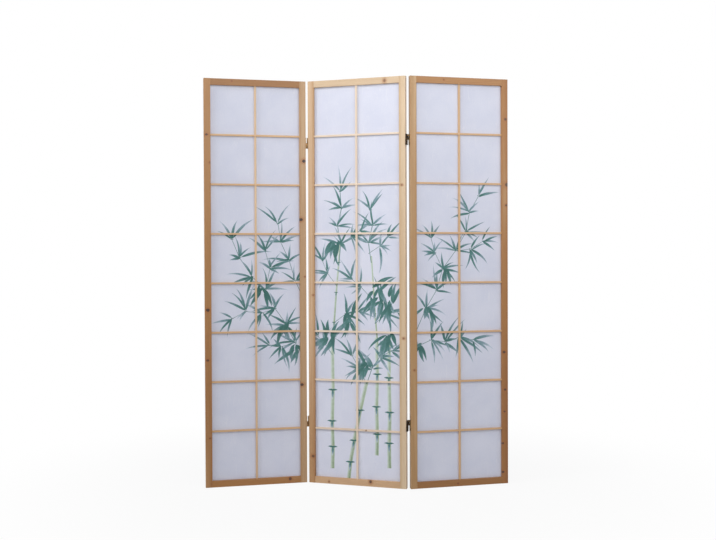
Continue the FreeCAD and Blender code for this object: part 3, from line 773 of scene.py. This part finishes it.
# %% Fans, twigs and thickets
LEAF_SHARES = (0.62, 0.85, 1.0, 1.0, 1.2)
LEAF_TONE, DENSE_TONE, TWIG_TONE, TICK_TONE = (1.06, 0.30), (1.22, 0.62), (0.8, 0.55), (1.0, 0.8)


def fan(ink, place, headings, length=88, width=9.5, tone=LEAF_TONE):
    """Brush a fan of leaves from one joint."""
    for heading in headings:
        turn = math.radians(heading + strokes.uniform(-9, 9))
        share = strokes.choice(LEAF_SHARES)
        long = length * share * strokes.uniform(1.0, 1.2) / 1000
        wide = width * strokes.uniform(0.8, 1.3) / 1000
        if abs(math.cos(turn)) > 0.25:
            falls = -math.copysign(1, math.cos(turn))
        else:
            falls = strokes.choice((-1, 1))
        curl = falls * strokes.uniform(0.1, 0.75) * (0.6 + 0.4 * share)
        start = [(along + strokes.uniform(-5, 5)) / 1000 for along in place]
        darker = strokes.uniform(-0.34, 0.12)
        stroke(ink, start, turn, long, wide, curl, (tone[0] + darker, tone[1] + darker))


def twig(ink, points, width=2.4):
    """Brush a twig through its joints, with a tick to each side at every joint."""
    for start, end in zip(points, points[1:]):
        run = Vector((end[0] - start[0], end[1] - start[1])) / 1000
        turn = math.atan2(run.y, run.x)
        stroke(ink, (start[0] / 1000, start[1] / 1000), turn, run.length * 0.97, width / 1000,
               0.0, TWIG_TONE, blunt=True, pieces=2)
        for side, curl in ((0.3, 0.4), (math.pi - 0.3, -0.4)):
            stroke(ink, (end[0] / 1000, end[1] / 1000), side, 0.0075, width * 1.3 / 1000,
                   curl, TICK_TONE, pieces=4)


def thicket(ink, place, reach, count, headings, length=80, width=13.5):
    """Brush a dense patch: short broad dark leaves that start all over a small area."""
    for _ in range(count):
        spot = [along + strokes.uniform(-reach, reach) for along in place]
        fan(ink, spot, [strokes.choice(headings)], length, width, DENSE_TONE)


print("leaf lengths, shortest and longest share:", min(LEAF_SHARES), max(LEAF_SHARES))

# %% [markdown]
# ### How a branch grows
# A branch runs through its joints, and its fans open to the left and the right in turn.
# Each joint has a full fan on one hand and two smaller leaves on the other, and the tip
# ends in a crown. So a branch needs only its joints, and this print's layout is a
# handful of such lines, made up for this screen. The leaves come from the rule.

# %% Branches
SIDE_FAN, FAR_FAN, CROWN = (30, 52, 78, 104), (28, 60), (-52, -24, 6, 34)
FAR_SHARE = 0.8
HANGING = (206, 228, 246, 262, 284, 306)


def branch(ink, joints, hand=1, leaf=88, width=9.0, twig_width=2.4):
    """Brush a branch with a fan at each joint, on either hand in turn, and a crown."""
    twig(ink, joints, twig_width)
    for low, high in zip(joints, joints[1:]):
        rise = math.degrees(math.atan2(high[1] - low[1], high[0] - low[0]))
        if high is joints[-1]:
            fan(ink, high, [rise + turn for turn in CROWN], leaf, width)
        else:
            fan(ink, high, [rise + hand * turn for turn in SIDE_FAN], leaf, width)
            fan(ink, high, [rise - hand * turn for turn in FAR_FAN], leaf * FAR_SHARE, width)
            hand = -hand


print("leaves at a joint:", len(SIDE_FAN) + len(FAR_FAN), "and at a tip:", len(CROWN))

# %% [markdown]
# ### The left leaf
# Two branches come in over the right stile. The long one crosses the whole leaf and has
# three side twigs, and a short steep one stays near the stile. Dark patches sit at the
# joints of the long one.

# %% The left leaf's branches
left = open_ink()
branch(left, [(428, 548), (390, 612), (352, 694), (304, 762), (262, 846), (204, 902),
              (150, 984), (118, 1062)], 1, 98)
branch(left, [(428, 806), (392, 884), (366, 972), (330, 1050), (318, 1132)], -1, 90, 8.5)
branch(left, [(304, 762), (244, 744), (176, 752), (118, 722)], 1, 92, 9, 2.0)
branch(left, [(262, 846), (282, 938), (262, 1012)], -1, 80, 8.5, 2.0)
branch(left, [(390, 612), (330, 596), (276, 604)], 1, 92, 9.5, 2.0)
thicket(left, (352, 700), 17, 8, HANGING, 82, 14)
thicket(left, (246, 850), 14, 6, HANGING, 76, 14)
thicket(left, (398, 596), 14, 6, HANGING, 80, 14)
close_ink("left_panel_bamboo_leaves", "left", left, leaf_ink["left"])

# %% [markdown]
# ### The right leaf
# One branch climbs from the left stile to the upper right, and a second one hangs over
# almost level below it.

# %% The right leaf's branches
right = open_ink()
branch(right, [(30, 676), (70, 764), (118, 842), (146, 934), (204, 1010), (252, 1092),
               (268, 1176), (310, 1246)], -1, 92, 8.5)
branch(right, [(30, 604), (92, 630), (158, 622), (222, 640), (284, 626)], -1, 94, 10)
branch(right, [(146, 934), (112, 1002), (94, 1066)], 1, 78, 8.5, 2.0)
branch(right, [(204, 1010), (272, 1018), (330, 1052)], -1, 82, 8.5, 2.0)
thicket(right, (76, 772), 15, 6, HANGING, 76, 13)
thicket(right, (160, 934), 11, 4, HANGING, 66, 12)
thicket(right, (44, 612), 13, 5, HANGING, 74, 13)
close_ink("right_panel_bamboo_leaves", "right", right, leaf_ink["right"])

# %% [markdown]
# ### The stalks
# Four stalks stand on the middle leaf, without ground, as painters draw them, and two
# thin ones rise behind their leaves. Each part between two rings is one straight blunt
# pull, a little narrower at its middle, with a greener band along its core and a pale
# one along an edge. The ring is a short dark stroke to each side with lifted ends, and a
# wet drop runs down below it.

# %% Stalks and rings
OVER_STALKS = 30
BODY_TONE, RING_TONE, DROP_TONE = 0.60, (1.15, 0.80), (0.95, 0.12)
BODY_PULLS = ((0.0, 1.0, 0.0, -0.05), (0.16, 0.42, 0.34, 0.22),
              (-0.36, 0.22, -0.36, -0.40), (0.43, 0.10, 0.10, 0.0))
RING_LIFT = 0.22


def stalk(stalks, rings, joints, width, fade):
    """Draw one stalk from its foot through its joints to its top, and ring the joints."""
    points = [Vector(joint) / 1000 for joint in joints]
    for number, (base, end) in enumerate(zip(points, points[1:])):
        run = end - base
        turn, high = math.atan2(run.y, run.x), number / (len(points) - 1)
        body = BODY_TONE - fade * high
        for shift, share, first, last in BODY_PULLS:
            edge = Vector((math.sin(turn), -math.cos(turn))) * shift * width / 1000
            stroke(stalks, base + edge, turn, run.length, width * share / 1000, 0.0,
                   (body + first, body + last), blunt=True, pieces=6)
        if end is points[-1]:
            continue
        stroke(rings, end + run.normalized() * 0.001, turn + math.pi, width * 2.1 / 1000,
               width * 0.56 / 1000, 0.0, DROP_TONE, pieces=6)
        for side, heading in ((1, RING_LIFT), (-1, math.pi - RING_LIFT)):
            stroke(rings, end - Vector((side * 0.003, -0.001)), heading, width * 1.42 / 1000,
                   width * 0.44 / 1000, -0.55 * side, RING_TONE, pieces=6)


stalks, grove = open_ink(), open_ink(OVER_STALKS)
stalk(stalks, grove, [(104, 66), (106, 158), (103, 270), (107, 406), (105, 600)], 18.5, 0.34)
stalk(stalks, grove, [(178, 22), (186, 96), (203, 190), (231, 322), (262, 452)], 18, 0.20)
stalk(stalks, grove, [(306, 134), (308, 222), (305, 340), (309, 480), (306, 640)], 17.5, 0.36)
stalk(stalks, grove, [(362, 82), (361, 186), (364, 318), (361, 466), (363, 640)], 18.5, 0.36)
stalk(stalks, grove, [(106, 590), (114, 700), (124, 830), (136, 960), (140, 1040)], 9.5, 0.40)
stalk(stalks, grove, [(312, 600), (300, 740), (292, 870), (284, 990)], 8.5, 0.40)
close_ink("centre_panel_bamboo_stalks", "centre", stalks, stalk_ink)

# %% [markdown]
# ### The middle leaf
# The leaves of the stalks hide where the stalks end. Thin tops rise out of them in both
# columns, the left one higher, and the darkest patch lies to the right.

# %% The middle leaf's branches
branch(grove, [(138, 960), (146, 1040), (132, 1118), (150, 1196), (144, 1268)], 1, 92, 8.5, 3.2)
branch(grove, [(284, 960), (272, 1046), (290, 1120), (282, 1186)], -1, 84, 8.5, 3.2)
branch(grove, [(128, 860), (84, 916), (62, 968)], 1, 78, 8.5, 2.0)
branch(grove, [(146, 1040), (196, 1074), (236, 1100)], -1, 78, 8.5, 2.0)
branch(grove, [(272, 1000), (326, 1034), (362, 1074)], -1, 84, 8.5, 2.0)
branch(grove, [(292, 800), (236, 858), (196, 890)], 1, 92, 9, 2.2)
branch(grove, [(114, 700), (168, 740), (222, 752)], -1, 92, 9, 2.2)
branch(grove, [(300, 700), (352, 742), (404, 752)], -1, 96, 9, 2.2)
branch(grove, [(262, 440), (286, 508), (322, 560), (376, 584)], 1, 94, 9.5, 3.0)
branch(grove, [(106, 560), (70, 612), (38, 640)], 1, 88, 9.5, 2.4)
branch(grove, [(262, 440), (228, 506), (196, 560)], 1, 88, 9.5, 2.4)
thicket(grove, (348, 806), 34, 17, HANGING + (74, 92), 90, 15)
thicket(grove, (300, 836), 22, 8, HANGING + (42,), 88, 15)
thicket(grove, (128, 1046), 16, 6, HANGING, 78, 15)
thicket(grove, (98, 642), 24, 12, HANGING + (92, 70), 86, 15)
thicket(grove, (176, 726), 20, 9, HANGING + (70,), 84, 14)
thicket(grove, (262, 520), 20, 9, HANGING + (112,), 84, 14)
thicket(grove, (366, 640), 22, 10, HANGING + (66,), 84, 14)
close_ink("centre_panel_bamboo_leaves", "centre", grove, leaf_ink["centre"])
